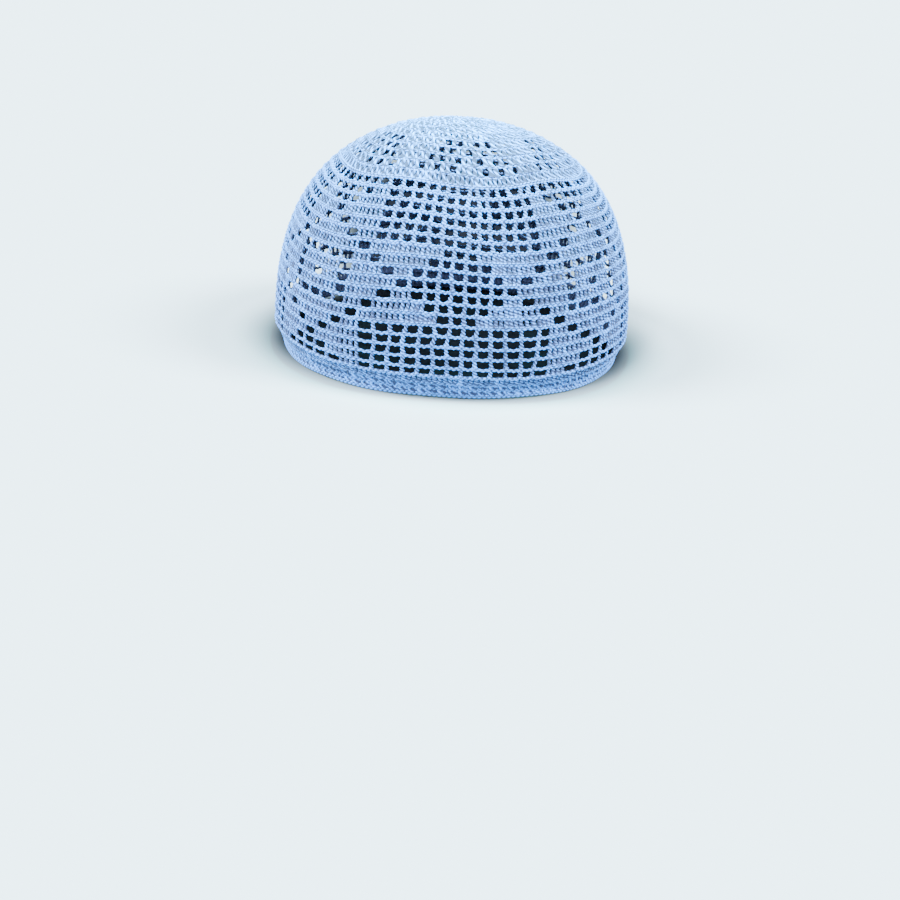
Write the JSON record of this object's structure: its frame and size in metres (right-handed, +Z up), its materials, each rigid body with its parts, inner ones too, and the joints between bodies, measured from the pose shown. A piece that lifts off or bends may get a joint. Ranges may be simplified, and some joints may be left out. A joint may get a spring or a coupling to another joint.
{
  "type": "prayer cap",
  "caption": "Rimless domed prayer cap in crocheted cotton net, with open mesh panels and solid diamond figures, hollow inside.",
  "frame": {"origin": "middle of the outer size in plan, on the plane of the rim", "axes": "+Z up from the rim to the crown, +Y to the wearer's forehead, -Y to the back of the head, +X to the wearer's right"},
  "size_m": [0.1619, 0.1819, 0.1091],
  "materials": {
    "cotton": "matt sky-blue cotton yarn, crocheted"
  },
  "bodies": {
    "root": {"cap": "cotton"}
  },
  "joints": []
}
